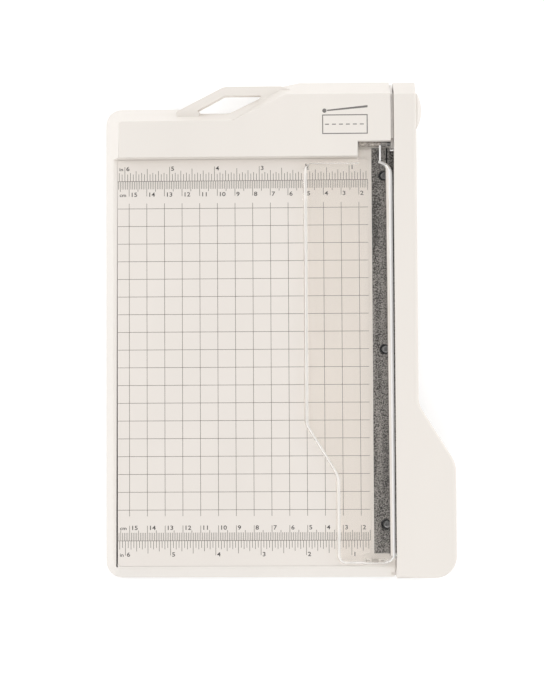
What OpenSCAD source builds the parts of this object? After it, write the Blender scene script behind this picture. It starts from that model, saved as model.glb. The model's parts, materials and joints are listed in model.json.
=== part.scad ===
// Compact lever-arm paper trimmer (guillotine), 225 mm cut.
// Millimetres. +X points to the cutting arm, +Y to the pivot end, +Z up.
// The origin is the middle of the footprint, on the surface that the feet stand on.

/* [Body] */
// Left edge of the base to the cutting line
base_w = 164.4; // [150:0.2:180]
// Front edge of the base to its rear edge
base_l = 282.2; // [270:0.2:296]
// Height of the bed that the paper lies on
bed_z = 15.5; // [15:0.1:17]
// Height of the head behind the bed, and of the closed arm
head_z = 24; // [23:0.5:26]
// Length of the head, from the paper fence to the rear edge
head_l = 45.3; // [43:0.1:47]
// Wall thickness of the plastic mouldings
wall = 2.2; // [1.8:0.1:2.6]
// Thickness of the ribs under the base
rib_t = 1.6; // [1.2:0.1:2]

/* [Arm] */
// Reach of the grip to the right of the cutting line
grip_reach = 32.6; // [28:0.2:36]
// Width of the arm's slim part, from the cutting line
arm_w = 12.2; // [11:0.1:13]
// Height of the arm's underside above the table when closed
arm_under_z = 11; // [10:0.5:12]
// Pivot axis to the rear edge of the base
pivot_back = 18.5; // [18:0.1:20]
// Height of the pivot axis
pivot_z = 12.5; // [12:0.1:13]
// Diameter of the domed pivot cap
cap_d = 20; // [18:0.1:20]

/* [Steel] */
// Width of the bed knife
knife_w = 12.7; // [11:0.1:14]
// Thickness of the bed knife
knife_t = 2; // [1.6:0.1:2.4]
// Thickness of the moving blade
blade_t = 1.5; // [1.2:0.1:1.8]
// Diameter of the pivot bolt
bolt_d = 6; // [5.8:0.1:6]

/* [Guard] */
// Width of the clear guard at the rear, from the cutting line
guard_w = 51.5; // [46:0.5:56]
// Width of the clear guard at the front, from the cutting line
guard_front_w = 34; // [28:0.5:38]
// Thickness of the guard's plate
guard_t = 2; // [1.6:0.1:2.2]
// Gap for paper between the bed and the guard
paper_gap = 1.3; // [1:0.1:1.5]

/* [Hidden] */
$fn = 64;
tiny = 0.01;
big = 400;

// Colours
shell_colour = [0.93, 0.90, 0.87];
steel_colour = [0.55, 0.54, 0.52];
bright_steel = [0.75, 0.75, 0.74];
rubber_colour = [0.25, 0.25, 0.26];
clear_colour = [0.85, 0.90, 0.92, 0.35];

// Main lines of the plan. Everything to the right of cut_x belongs to the arm.
cut_x = (base_w - grip_reach) / 2;
left_x = cut_x - base_w;
front_y = -base_l / 2;
rear_y = base_l / 2;
fence_y = rear_y - head_l;
pivot_y = rear_y - pivot_back;

// Base moulding
rim_z = 2;
skirt_z = 3.5;
side_gap = 2.1;
side_x = cut_x - side_gap;
slope_x = 0.455;
slope_y = 0.5;
corner_r = 9;
step_y = rear_y - 14.6;
ramp_low = [cut_x - 92, cut_x - 53.2];
ramp_mid = [cut_x - 94.7, cut_x - 65.9];
ramp_mid_z = 12;
ramp_top = [cut_x - 90.7, cut_x - 60.8];
block_x = cut_x - 0.95;
block_l = 13;
hollow_z = bed_z - 3.6;
shelf_reach = 9;
shelf_z = 9.6;
bumper_t = 1.35;

// Carrying loop behind the left half of the head
loop_z = 16.5;
loop_t = 5;

// Bed
panel_t = 0.8;
panel_left = cut_x - 156.65;
panel_right = cut_x - 14.4;
panel_front = front_y + 7.5;
panel_rear = fence_y - 0.2;
panel_r = 2.5;
notch_w = 4.6;
notch_l = 6.6;
fit = 0.1;

// Bed knife and its screws
knife_edge_gap = 0.05;
knife_front = front_y + 14.3;
knife_rear = fence_y + 5.2;
knife_step = 3.8;
screw_x = cut_x - 6.1;
screw_y0 = front_y + 30.4;
screw_pitch = 98.1;
screw_n = 3;
screw_head_r = 2.95;
screw_r = 1.5;
pilot_r = 1.5;

// Recess in the head for the guard's hinge
hinge_left = cut_x - 20.5;
hinge_wall_y = fence_y + 9.8;
lip_y = fence_y + 8.35;
lip_z = bed_z + 4.3;
hinge_y = fence_y + 7.7;
hinge_z = bed_z + 1.8;
pin_r = 1.1;
barrel_r = 1.8;

// Guard
guard_gap = 1.1;
guard_right = cut_x - guard_gap;
guard_left = cut_x - guard_w;
guard_front_left = cut_x - guard_front_w;
guard_rear = fence_y - 2.3;
guard_front = front_y + 8.6;
bend_rear = front_y + 86.8;
bend_front = front_y + 58;
neck_left = cut_x - 20;
neck_right = cut_x - 7.6;
guard_z = bed_z + paper_gap;
rim_h = 1.6;
left_rim_w = 2.3;
right_rim_w = 4;
end_rim_w = 1.5;
slot_l = 11;
slot_w = 1.8;
slot_x = cut_x - 12.5;
slot_y = guard_front + 1.9;
peg_l = 4;
peg_w = 1;

// Torsion spring on the guard's pin
wire_r = 0.4;
coil_r = 1.75;
coil_turns = 3;
coil_steps = 20;
coil_pitch = 0.82;
wire_sides = 8;
leg_x = cut_x - 4.35;
leg_z = hinge_z + coil_r;
leg_in = 6.5;
coil_x0 = leg_x - coil_pitch * (coil_turns + 0.25);

// Pivot plate and pivot stack, measured along X from the cutting line
plate_t = 1.5;
plate_out = 0.5;
washer_t = 0.42;
boss_end = 7;
pocket_r = 8.25;
bush_r = 4.5;
flange_r = 6.5;
flange_t = 0.8;
disc_t = 0.6;
disc_cone = 0.65;
nut_t = 3.2;
hex_af = 10;
cap_rise = 3.6;
cap_edge = 0.9;
cap_skirt = 2;

// Arm
arm_lip = 0.6;
rear_lip = 0.35;
lip_ends = [50, 24];
arm_front = front_y + 1.2;
arm_top_z = head_z;
tail = 16.2;
tail_top = 7.9;
pivot_boss_r = 10;
grip_rear = front_y + 97.5;
grip_front = front_y + 64.5;
grip_r = 14;
end_r = 12;
blade_front = front_y + 12.4;
blade_top_z = 21.6;
blade_tang_r = 9;
blade_start_z = 9.6;
blade_end_z = 5.2;
tine = 1.55;
inner_z = arm_top_z - 2;
hollow_rear = pivot_y - 14;
liner_t = 1.8;
liner_fit = 0.15;
blade_screw_z = 17;
blade_screw_y = [for (i = [0:4]) front_y + 25 + i * 47];
liner_screw_y = [for (i = [0:3]) front_y + 48 + i * 47];
grip_screws = [[23, 20], [23, 55]];

// Points of a polygon with each corner rounded. Each item of corners is [x, y, radius].
function rounded(corners, steps = 8) = [
    for (i = [0:len(corners) - 1])
        let (
            here = corners[i],
            before = corners[(i + len(corners) - 1) % len(corners)],
            after = corners[(i + 1) % len(corners)],
            p = [here[0], here[1]],
            to_before = unit([before[0], before[1]] - p),
            to_after = unit([after[0], after[1]] - p),
            half = acos(to_before * to_after) / 2,
            reach = here[2] / tan(half),
            centre = p + unit(to_before + to_after) * here[2] / sin(half),
            a = p + to_before * reach - centre,
            b = p + to_after * reach - centre,
            start = atan2(a[1], a[0]),
            turn = turn_between(start, atan2(b[1], b[0]))
        )
        each here[2] == 0 ? [p] :
            [for (k = [0:steps]) centre + here[2] * [cos(start + turn * k / steps),
                sin(start + turn * k / steps)]]
];
function unit(v) = v / norm(v);
function turn_between(a, b) = let (d = b - a) d > 180 ? d - 360 : d < -180 ? d + 360 : d;

// A cylinder along +X, from x0 to x1, at y and z.
module rod_x(x0, x1, r, y, z, r2 = undef) {
    translate([x0, y, z]) rotate([0, 90, 0])
        cylinder(h = x1 - x0, r1 = r, r2 = r2 == undef ? r : r2);
}

// A flat ring on the pivot axis.
module pivot_ring(x0, x1, outer, inner) {
    difference() {
        rod_x(cut_x + x0, cut_x + x1, outer, pivot_y, pivot_z);
        rod_x(cut_x + x0 - 1, cut_x + x1 + 1, inner, pivot_y, pivot_z);
    }
}

// A side profile, given as [y, z] points, extruded along +X from x0 to x1.
module side_prism(x0, x1, points) {
    translate([x0, 0, 0]) rotate([90, 0, 90]) linear_extrude(x1 - x0) polygon(points);
}

// A countersunk screw with its head's top face at z = 0, pointing down.
module countersunk_screw(length) {
    head_h = screw_head_r - screw_r;
    difference() {
        union() {
            translate([0, 0, -0.2]) cylinder(h = 0.2, r = screw_head_r - 0.05);
            translate([0, 0, -0.2 - head_h]) cylinder(h = head_h, r1 = screw_r, r2 = screw_head_r - 0.05);
            translate([0, 0, -length]) cylinder(h = length, r = screw_r - 0.05);
        }
        for (turn = [0, 90]) rotate(turn) translate([-1.6, -0.3, -1]) cube([3.2, 0.6, 2]);
    }
}

// The hole for a countersunk screw, with its mouth at z = 0.
module countersink(depth) {
    head_h = screw_head_r - screw_r;
    translate([0, 0, -0.2]) cylinder(h = 1, r = screw_head_r);
    translate([0, 0, -0.2 - head_h]) cylinder(h = head_h, r1 = screw_r, r2 = screw_head_r);
    translate([0, 0, -depth]) cylinder(h = depth, r = screw_r + 0.05);
}

// One level of the base's main block. rise is its height above the skirt, inset a wall.
module main_level(z, rise, inset) {
    dx = rise * slope_x + inset;
    dy = rise * slope_y + inset;
    r = max(corner_r - rise * 0.34, 1);
    x0 = left_x + dx;
    y0 = front_y + dy;
    y1 = step_y - dy;
    translate([0, 0, z]) linear_extrude(tiny) polygon(rounded([
        [x0, y0, r], [side_x - inset, y0, 0], [side_x - inset, y1, 0], [x0, y1, r]]));
}

// One level of the raised right part of the head. ends are the X of the ramp's two ends.
module ramp_level(z, rise, ends, inset, height = tiny) {
    dy = rise * slope_y + inset;
    x0 = ends[0] + inset;
    x1 = ends[1] + inset;
    y0 = step_y - dy - tiny;
    translate([0, 0, z]) linear_extrude(height) polygon([
        [x0, fence_y], [side_x - inset, fence_y], [side_x - inset, rear_y - dy],
        [x1, rear_y - dy], [x0, y0]]);
}

// The sloped body up to top_z, made of the main block and the raised right part.
module sloped_body(top_z, inset, bottom_z = rim_z) {
    hull() {
        main_level(bottom_z, 0, inset);
        main_level(skirt_z, 0, inset);
        main_level(top_z - tiny, top_z - skirt_z, inset);
    }
    hull() {
        ramp_level(bottom_z, 0, ramp_low, inset, skirt_z - bottom_z);
        ramp_level(ramp_mid_z, ramp_mid_z - skirt_z, ramp_mid, inset);
        ramp_level(top_z - tiny, top_z - skirt_z, ramp_top, inset);
    }
}

// The strap that the trimmer is carried and hung by. Its two ends run into the head.
module carry_loop() {
    translate([0, 0, loop_z - loop_t]) linear_extrude(loop_t) difference() {
        polygon(rounded([
            [cut_x - 123.5, step_y - 3.9, 1.5], [cut_x - 96, step_y + 10.3, 9],
            [cut_x - 63.5, step_y + 10.3, 1.5], [cut_x - 58, step_y + 8.1, 0.3],
            [cut_x - 64, step_y, 0], [cut_x - 84, step_y - 13, 0], [cut_x - 121, step_y - 13, 0]]));
        // open towards the head, whose slope closes the hole on this side
        polygon([
            [cut_x - 109.6, step_y - 3.2], [cut_x - 92.6, step_y - 3.2], [cut_x - 76.2, step_y + 4.4],
            [cut_x - 77.2, step_y - 1.5], [cut_x - 92, step_y - 9], [cut_x - 110.6, step_y - 9]]);
    }
}

// The finger hole in plan, larger all round by grow.
module loop_outline(grow) {
    polygon(rounded([
        [cut_x - 112.5 - 4 * grow, step_y - 4 - grow, 0.5 + grow],
        [cut_x - 95.4 - 0.25 * grow, step_y + 5.2 + grow, 4],
        [cut_x - 74.9 + grow, step_y + 5.2 + grow, 0.8],
        [cut_x - 74.9 + grow, step_y + 4.1 - 0.64 * grow, 0],
        [cut_x - 92.5 + 0.22 * grow, step_y - 4 - grow, 5]]));
}

module loop_hole(grow = 0) {
    linear_extrude(big) loop_outline(grow);
}

// Everything that stays inside the hollow base: ribs, screw posts and foot pads.
module base_stiffeners() {
    for (i = [1:5]) translate([left_x + i * 27 - rib_t / 2, front_y, 3]) cube([rib_t, base_l, 30]);
    for (i = [1:9]) translate([left_x, front_y + i * 25.5 - rib_t / 2, 3]) cube([base_w, rib_t, 30]);
    for (y = knife_screw_ys()) translate([screw_x, y, 3]) cylinder(h = 30, r = 4);
    for (p = foot_places()) translate([p[0], p[1], rim_z + 0.6]) cylinder(h = 30, r = 8.4);
    translate([side_x - 11, pivot_y - 14, 3]) cube([rib_t, 40, 30]);
    translate([0, 0, rim_z]) loop_hole(wall);
    for (p = plate_screw_places()) rod_x(side_x - 10, side_x, 3.4, p[0], p[1]);
}

// The recesses and holes that are cut into the base's outside.
module base_cuts() {
    // bed, in front of the fence
    translate([left_x - 1, front_y - 1, bed_z]) cube([base_w + 40, fence_y - front_y + 1, big]);
    // room for the guard's hinge, partly under a lip of the head
    translate([hinge_left, fence_y - 1, bed_z]) cube([big, lip_y - fence_y + 1, big]);
    translate([hinge_left, fence_y + 4.6, bed_z - 0.6])
        cube([big, hinge_wall_y - fence_y - 4.6, lip_z - bed_z + 0.6]);
    rod_x(hinge_left - 2 * wall, cut_x, pin_r + 0.03, hinge_y, hinge_z);
    // printed panel
    translate([0, 0, bed_z - panel_t]) panel_plate(fit, panel_t + 1);
    // bed knife
    translate([cut_x - knife_w - fit, knife_front - fit, bed_z - knife_t])
        cube([big, knife_rear - knife_front + 2 * fit, knife_t + 1]);
    for (y = knife_screw_ys()) translate([screw_x, y, 4]) cylinder(h = bed_z, r = pilot_r);
    // bolt head of the pivot, and the pivot plate's screws
    rod_x(side_x - 8, cut_x, 6.6, pivot_y, pivot_z);
    for (p = plate_screw_places()) rod_x(side_x - 8, cut_x, 1.25, p[0], p[1]);
    // stems of the feet
    for (p = foot_places()) translate([p[0], p[1], 0]) cylinder(h = 9, r = 2.5);
    translate([0, 0, -1]) loop_hole();
    // room under the strap at the hole's two ends
    translate([0, 0, -1]) linear_extrude(loop_z - loop_t + 1) {
        polygon([[cut_x - 115.5, step_y + 1], [cut_x - 113.5, step_y - 4],
            [cut_x - 93, step_y - 4], [cut_x - 93, step_y + 1]]);
        polygon([[cut_x - 80, step_y + 4], [cut_x - 74.9, step_y + 4], [cut_x - 74.9, step_y + 8],
            [cut_x - 80, step_y + 8]]);
    }
}

function knife_screw_ys() = [for (i = [0:screw_n - 1]) screw_y0 + i * screw_pitch];
function plate_screw_places() = [[pivot_y - 10, 18.8], [pivot_y - 10, 6.4], [pivot_y + 10, 6.4]];
function foot_places() = [
    [left_x + 21, front_y + 21], [side_x - 13, front_y + 17],
    [left_x + 21, step_y - 26], [side_x - 26, rear_y - 24]];

module base_shell() {
    color(shell_colour) difference() {
        union() {
            sloped_body(head_z, 0);
            carry_loop();
            // front block beside the arm, with the shelf that the arm lands on
            side_prism(side_x - 1, block_x, [[front_y, rim_z], [front_y + block_l + 4, rim_z],
                [front_y + block_l + 4, shelf_z], [front_y + block_l, shelf_z],
                [front_y + block_l, bed_z], [front_y + 6, bed_z], [front_y, skirt_z]]);
            translate([side_x - 1, front_y + 1.5, rim_z])
                cube([side_gap + 1 + shelf_reach, 8, shelf_z - rim_z]);
        }
        difference() {
            base_hollow();
            base_stiffeners();
            hinge_block();
        }
        base_cuts();
    }
    // locating peg in the guard's front slot
    color(shell_colour) translate([slot_x - peg_l / 2, slot_y - peg_w / 2, bed_z - tiny])
        cube([peg_l, peg_w, paper_gap + guard_t + 0.2]);
}

// The hollow underside, lower under the bed than under the head.
module base_hollow() {
    for (low = [[-big, fence_y + wall, 0], [-big, -big, hollow_z - 2 * big]]) intersection() {
        sloped_body(head_z - wall, wall, rim_z - 1);
        translate(low) cube(2 * big);
    }
}

// Solid plastic around the recess that the guard's hinge sits in.
module hinge_block() {
    translate([hinge_left - wall, fence_y, rim_z + 1])
        cube([cut_x - hinge_left, hinge_wall_y - fence_y + wall, big]);
}

// The bed panel's outline, larger all round by grow.
module panel_plate(grow, thickness) {
    linear_extrude(thickness) polygon(rounded([
        [panel_left - grow, panel_front - grow, panel_r],
        [panel_right - notch_w + grow, panel_front - grow, 0.5],
        [panel_right - notch_w + grow, panel_front + notch_l - grow, 2],
        [panel_right + grow, panel_front + notch_l - grow, 0.5],
        [panel_right + grow, panel_rear + grow, panel_r],
        [panel_left - grow, panel_rear + grow, 1.5]]));
}

module bed_panel() {
    color([0.93, 0.90, 0.86]) translate([0, 0, bed_z - panel_t]) panel_plate(0, panel_t);
}

module bed_knife() {
    edge = cut_x - knife_edge_gap;
    color(steel_colour) difference() {
        translate([0, 0, bed_z - knife_t]) linear_extrude(knife_t) polygon([
            [cut_x - knife_w, knife_front], [edge, knife_front], [edge, fence_y + knife_step],
            [cut_x - 2.4, fence_y + knife_step], [cut_x - 2.4, knife_rear],
            [cut_x - knife_w, knife_rear]]);
        for (y = knife_screw_ys()) translate([screw_x, y, bed_z]) countersink(knife_t + 1);
    }
}

module knife_screws() {
    color(bright_steel) for (y = knife_screw_ys()) translate([screw_x, y, bed_z])
        countersunk_screw(9);
}

// The guard's outline in plan, inset by the four widths given.
function guard_outline(left, rear, right, front) = [
    [guard_front_left + left, guard_front + front, max(5.5 - left, 3)],
    [guard_right - right, guard_front + front, max(5 - right / 2, 2.5)],
    [guard_right - right, guard_rear - rear, max(8 - right, 3)],
    [guard_left + left, guard_rear - rear, max(5 - left, 2.5)],
    [guard_left + left, bend_rear - left * 0.3, 8],
    [guard_front_left + left, bend_front - left * 0.3, 14]];

module guard_plate() {
    plate_top = guard_z + guard_t;
    color(clear_colour) difference() {
        union() {
            translate([0, 0, guard_z]) linear_extrude(guard_t)
                polygon(rounded(guard_outline(0, 0, 0, 0)));
            // raised rim, broken where the neck leaves it
            difference() {
                translate([0, 0, guard_z]) linear_extrude(guard_t + rim_h)
                    polygon(rounded(guard_outline(0, 0, 0, 0)));
                translate([0, 0, guard_z - 1]) linear_extrude(big)
                    polygon(rounded(guard_outline(left_rim_w, end_rim_w, right_rim_w, end_rim_w)));
                translate([neck_left, guard_rear - 9, plate_top])
                    cube([neck_right - neck_left, 20, 10]);
            }
            // neck and hinge barrel
            translate([neck_left, guard_rear - 1, guard_z])
                cube([neck_right - neck_left, hinge_y - guard_rear + 1, guard_t]);
            rod_x(neck_left, neck_right, barrel_r, hinge_y, hinge_z);
            // foot along the front edge
            translate([slot_x - 7.5, guard_front + 0.2, bed_z + 0.15]) cube([15, 3.4, paper_gap]);
        }
        rod_x(neck_left - 1, neck_right + 1, pin_r + 0.05, hinge_y, hinge_z);
        translate([slot_x - slot_l / 2, slot_y - slot_w / 2, 0]) cube([slot_l, slot_w, big]);
        // socket for the spring's leg, in the end of the right rim
        translate([leg_x, guard_rear + 1, leg_z]) rotate([90, 0, 0])
            cylinder(h = leg_in + 1.5, r = wire_r + 0.05);
    }
}

module guard_pin() {
    color(bright_steel) rod_x(hinge_left - wall, cut_x - plate_out - 0.1, pin_r, hinge_y, hinge_z);
}

// The spring's wire: one end on the head, the coil, and the long leg held in the guard's right rim.
function spring_path() = concat(
    [[coil_x0, hinge_y + coil_r, hinge_z - 0.9]],
    [for (i = [0:(coil_turns + 0.25) * coil_steps])
        let (a = 360 * i / coil_steps)
        [coil_x0 + coil_pitch * i / coil_steps, hinge_y + coil_r * cos(a), hinge_z + coil_r * sin(a)]],
    [[leg_x, hinge_y - 1.5, leg_z], [leg_x, guard_rear - leg_in, leg_z]]);

// A round wire along a path, as one polyhedron.
module wire(path, r) {
    n = len(path);
    rings = [for (i = [0:n - 1])
        let (
            along = unit(path[min(i + 1, n - 1)] - path[max(i - 1, 0)]),
            side = unit(cross(along, abs(along[0]) > 0.9 ? [0, 0, 1] : [1, 0, 0])),
            up = cross(side, along)
        )
        for (k = [0:wire_sides - 1])
            path[i] + r * (side * cos(360 * k / wire_sides) + up * sin(360 * k / wire_sides))];
    walls = [for (i = [0:n - 2], k = [0:wire_sides - 1])
        let (a = i * wire_sides + k, b = i * wire_sides + (k + 1) % wire_sides)
        each [[a, b, b + wire_sides], [a, b + wire_sides, a + wire_sides]]];
    first = [for (k = [1:wire_sides - 2]) [0, k + 1, k]];
    last = [for (k = [1:wire_sides - 2]) (n - 1) * wire_sides * [1, 1, 1] + [0, k, k + 1]];
    polyhedron(rings, concat(walls, first, last), convexity = 10);
}

module guard_spring() {
    color(bright_steel) wire(spring_path(), wire_r);
}

// Steel plate on the side of the head that carries the pivot bolt and the guard's pin.
module pivot_plate() {
    x0 = side_x + 0.1;
    color(steel_colour) difference() {
        side_prism(x0, cut_x - plate_out, [
            [fence_y + 10, 4], [rear_y - 1.6, 4], [rear_y - 10.6, head_z - 1.8],
            [fence_y + 10, head_z - 1.8], [fence_y + 10, bed_z + 4.4], [fence_y + 4.6, bed_z + 4.4],
            [fence_y + 4.6, bed_z - 1.4], [fence_y + 10, bed_z - 1.4]]);
        rod_x(x0 - 1, cut_x, bolt_d / 2 + 0.03, pivot_y, pivot_z);
        rod_x(x0 - 1, cut_x, pin_r + 0.03, hinge_y, hinge_z);
        for (p = plate_screw_places()) {
            rod_x(x0 - 1, cut_x, 1.3, p[0], p[1]);
            rod_x(cut_x - plate_out - 1.1, cut_x - plate_out + tiny, 1.3, p[0], p[1], 2.6);
        }
    }
}

module pivot_plate_screws() {
    face = cut_x - plate_out - 0.05;
    color(bright_steel) for (p = plate_screw_places()) difference() {
        union() {
            rod_x(face - 1.1, face, 1.2, p[0], p[1], 2.45);
            rod_x(face - 8, face - 0.5, 1.2, p[0], p[1]);
        }
        translate([face - 0.6, p[0] - 1.4, p[1] - 0.25]) cube([2, 2.8, 0.5]);
    }
}

module pivot_bolt() {
    head_x = side_x + 0.1;
    color(bright_steel) {
        rod_x(head_x - tiny, cut_x + 13.2, bolt_d / 2, pivot_y, pivot_z);
        translate([head_x - 4, pivot_y, pivot_z]) rotate([0, 90, 0])
            cylinder(h = 4, r = hex_af / 2 / cos(30), $fn = 6);
    }
}

module thrust_washer() {
    color([0.92, 0.91, 0.85]) pivot_ring(-plate_out + 0.03, -plate_out + 0.03 + washer_t,
        7.5, bolt_d / 2 + 0.08);
}

// Two coned disc springs, face to face, that press the arm towards the bed knife.
module disc_springs() {
    x0 = boss_end + flange_t + 0.05;
    color(bright_steel) for (flip = [0, 1]) translate([cut_x + x0 + disc_cone, pivot_y, pivot_z])
        mirror([flip, 0, 0]) rotate([0, 90, 0]) rotate_extrude() polygon([
            [bolt_d / 2 + 0.15, tiny], [6, disc_cone - disc_t + 0.25], [6, disc_cone - tiny],
            [bolt_d / 2 + 0.15, disc_t - 0.25]]);
}

module pivot_washer() {
    x0 = boss_end + flange_t + 0.05 + 2 * disc_cone + 0.02;
    color(bright_steel) pivot_ring(x0, x0 + 0.75, 6, bolt_d / 2 + 0.1);
}

module pivot_nut() {
    x0 = boss_end + flange_t + 2.15;
    color(bright_steel) difference() {
        translate([cut_x + x0, pivot_y, pivot_z]) rotate([0, 90, 0])
            cylinder(h = nut_t, r = hex_af / 2 / cos(30), $fn = 6);
        rod_x(cut_x + x0 - 1, cut_x + x0 + nut_t + 1, bolt_d / 2 + 0.02, pivot_y, pivot_z);
    }
}

module pivot_bush() {
    color([0.72, 0.6, 0.35]) difference() {
        union() {
            rod_x(cut_x + tine + 0.05, cut_x + boss_end + tiny, bush_r, pivot_y, pivot_z);
            rod_x(cut_x + boss_end, cut_x + boss_end + flange_t, flange_r, pivot_y, pivot_z);
        }
        rod_x(cut_x, cut_x + 20, bolt_d / 2 + 0.05, pivot_y, pivot_z);
    }
}

// Domed cap over the pivot nut, pressed into the arm's pocket.
module pivot_cap() {
    r = cap_d / 2;
    dome = cap_rise - cap_edge;
    ball = (r * r + dome * dome) / 2 / dome;
    color(shell_colour) translate([cut_x + arm_w + 0.05, pivot_y, pivot_z]) rotate([0, 90, 0])
        difference() {
            union() {
                intersection() {
                    translate([0, 0, cap_rise - ball]) sphere(ball, $fn = 96);
                    cylinder(h = cap_rise + 1, r = r);
                }
                translate([0, 0, -cap_skirt]) cylinder(h = cap_skirt + 0.5, r = pocket_r - 0.03);
            }
            translate([0, 0, -cap_skirt - 1]) cylinder(h = cap_skirt + 1.2, r = pocket_r - 1);
            intersection() {
                translate([0, 0, cap_rise - ball - 0.9]) sphere(ball, $fn = 96);
                cylinder(h = cap_rise, r = pocket_r - 1);
            }
        }
}

module arm_bumper() {
    color(rubber_colour) translate([cut_x + 1.6, front_y + 3, shelf_z]) cube([6, 5, bumper_t]);
}

// Push-in rubber foot with a stem.
module foot(i) {
    p = foot_places()[i];
    color(rubber_colour) translate([p[0], p[1], 0]) {
        rotate_extrude() polygon([[0, 0], [5.8, 0], [7, 0.8], [7, rim_z + 0.6], [0, rim_z + 0.6]]);
        cylinder(h = 8.5, r = 2.45);
    }
}

// The arm's outline in plan, inset by t on every side. Its left edge is a lip over the blade's top,
// which gets narrower towards the pivot plate.
function arm_plan(t) =
    let (
        slant = atan((grip_reach - arm_w) / (grip_rear - grip_front)),
        shift = t * tan(slant / 2)
    ) [
        [cut_x - arm_lip + t, arm_front + t, 0],
        [cut_x + grip_reach - t, arm_front + t, max(end_r - t, 1)],
        [cut_x + grip_reach - t, grip_front - shift, grip_r - t],
        [cut_x + arm_w - t, grip_rear - shift, grip_r + t],
        [cut_x + arm_w - t, pivot_y + tail - t, 0.6],
        [cut_x - rear_lip + t, pivot_y + tail - t, 0],
        [cut_x - rear_lip + t, pivot_y - lip_ends[1], 0],
        [cut_x - arm_lip + t, pivot_y - lip_ends[0], 0]];

// The arm's side profile: beam, round pivot boss and sloped tail.
module arm_side(x0, x1) {
    side_prism(x0, x1, [[arm_front, arm_under_z], [pivot_y, arm_under_z],
        [pivot_y + tail, pivot_z - 0.6], [pivot_y + tail, pivot_z + 0.6],
        [pivot_y + tail_top, arm_top_z], [arm_front, arm_top_z]]);
    side_prism(x0, x1, [[pivot_y + 4, pivot_z], [pivot_y + 6.4, pivot_z - 7.6],
        [pivot_y + tail, pivot_z - 0.6], [pivot_y + tail, pivot_z + 0.5]]);
    side_prism(x0, x1, [[pivot_y - 20, arm_under_z + 1], [pivot_y - 20, arm_under_z],
        [pivot_y - 7, pivot_z - 7.1], [pivot_y, pivot_z]]);
    rod_x(x0, x1, pivot_boss_r, pivot_y, pivot_z);
}

module arm_shell() {
    color(shell_colour) difference() {
        intersection() {
            linear_extrude(arm_top_z) polygon(rounded(arm_plan(0), 10));
            arm_side(cut_x - 1, cut_x + grip_reach + 1);
        }
        // seat of the blade on the arm's left side
        translate([cut_x - 1, blade_front - 0.2, 0])
            cube([1 + tine, pivot_y - blade_front + 0.2, blade_top_z + 0.1]);
        rod_x(cut_x - 1, cut_x + tine, blade_tang_r + 0.4, pivot_y, pivot_z);
        translate([cut_x - 1, pivot_y - 1, pivot_z])
            cube([1 + tine, blade_tang_r + 1.4, blade_top_z + 0.1 - pivot_z]);
        // hollow of the beam and grip, less the screw blocks
        difference() {
            translate([0, 0, -1]) linear_extrude(inner_z + 1) intersection() {
                polygon(rounded(arm_plan(2), 10));
                translate([cut_x + tine + 2, front_y]) square([big, hollow_rear - front_y]);
            }
            for (y = blade_screw_y) translate([cut_x, y - 3.5, arm_under_z + liner_t + 0.1])
                cube([11, 7, 20]);
            for (y = liner_screw_y) translate([cut_x, y - 3, arm_under_z + liner_t + 0.1])
                cube([11, 6, 20]);
            for (p = grip_screws) translate([cut_x + p[0], front_y + p[1], arm_under_z + liner_t + 0.1])
                cylinder(h = 20, r = 3);
        }
        for (y = blade_screw_y) rod_x(cut_x, cut_x + 9.4, 1.5, y, blade_screw_z);
        for (p = liner_screws_at()) translate([p[0], p[1], 0]) cylinder(h = inner_z - 1.5, r = 1.2);
        // pivot bore and the pocket for the nut
        rod_x(cut_x, cut_x + boss_end + 1, bush_r + 0.03, pivot_y, pivot_z);
        rod_x(cut_x + boss_end, cut_x + 20, pocket_r, pivot_y, pivot_z);
    }
}

function liner_screws_at() = concat([for (y = liner_screw_y) [cut_x + 7, y]],
    [for (p = grip_screws) [cut_x + p[0], front_y + p[1]]]);

// Plate that closes the arm's underside.
module arm_liner() {
    color(shell_colour) difference() {
        translate([0, 0, arm_under_z]) linear_extrude(liner_t) intersection() {
            polygon(rounded(arm_plan(2 + liner_fit), 10));
            translate([cut_x + tine + 2 + liner_fit, front_y])
                square([big, hollow_rear - liner_fit - front_y]);
        }
        for (p = liner_screws_at()) translate([p[0], p[1], 0]) {
            cylinder(h = big, r = 1.3);
            translate([0, 0, arm_under_z - tiny]) cylinder(h = 0.8, r = 2.1);
        }
    }
}

module liner_screws() {
    color(bright_steel) for (p = liner_screws_at()) translate([p[0], p[1], 0]) difference() {
        union() {
            translate([0, 0, arm_under_z + 0.02]) cylinder(h = 0.77, r = 2);
            translate([0, 0, arm_under_z + 0.02]) cylinder(h = 8, r = 1.15);
        }
        for (turn = [0, 90]) rotate(turn) translate([-1.2, -0.25, arm_under_z - 1]) cube([2.4, 0.5, 1.5]);
    }
}

// Height of the blade's cutting edge when closed: it drops along a shallow curve to the front.
function edge_z(y) = let (s = (fence_y - y) / (fence_y - blade_front))
    blade_start_z + (blade_end_z - blade_start_z) * pow(max(s, 0), 1.4);

module arm_blade() {
    steps = 16;
    edge = [for (i = [0:steps]) let (y = fence_y - (fence_y - blade_front) * i / steps) [y, edge_z(y)]];
    color(bright_steel) difference() {
        union() {
            side_prism(cut_x, cut_x + blade_t, concat([[pivot_y, pivot_z - blade_tang_r],
                [pivot_y - 4, pivot_z - blade_tang_r]], edge,
                [[blade_front, blade_top_z - 5], [blade_front + 5, blade_top_z],
                [pivot_y, blade_top_z]]));
            rod_x(cut_x, cut_x + blade_t, blade_tang_r, pivot_y, pivot_z);
        }
        rod_x(cut_x - 1, cut_x + 3, bolt_d / 2 + 0.08, pivot_y, pivot_z);
        for (y = blade_screw_y) {
            rod_x(cut_x - 1, cut_x + 3, 1.6, y, blade_screw_z);
            rod_x(cut_x - tiny, cut_x + 1.3, 2.9, y, blade_screw_z, 1.6);
        }
        // ground bevel on the outer side of the cutting edge
        for (i = [0:steps - 1]) grind(edge[i], edge[i + 1]);
    }
}

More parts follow.
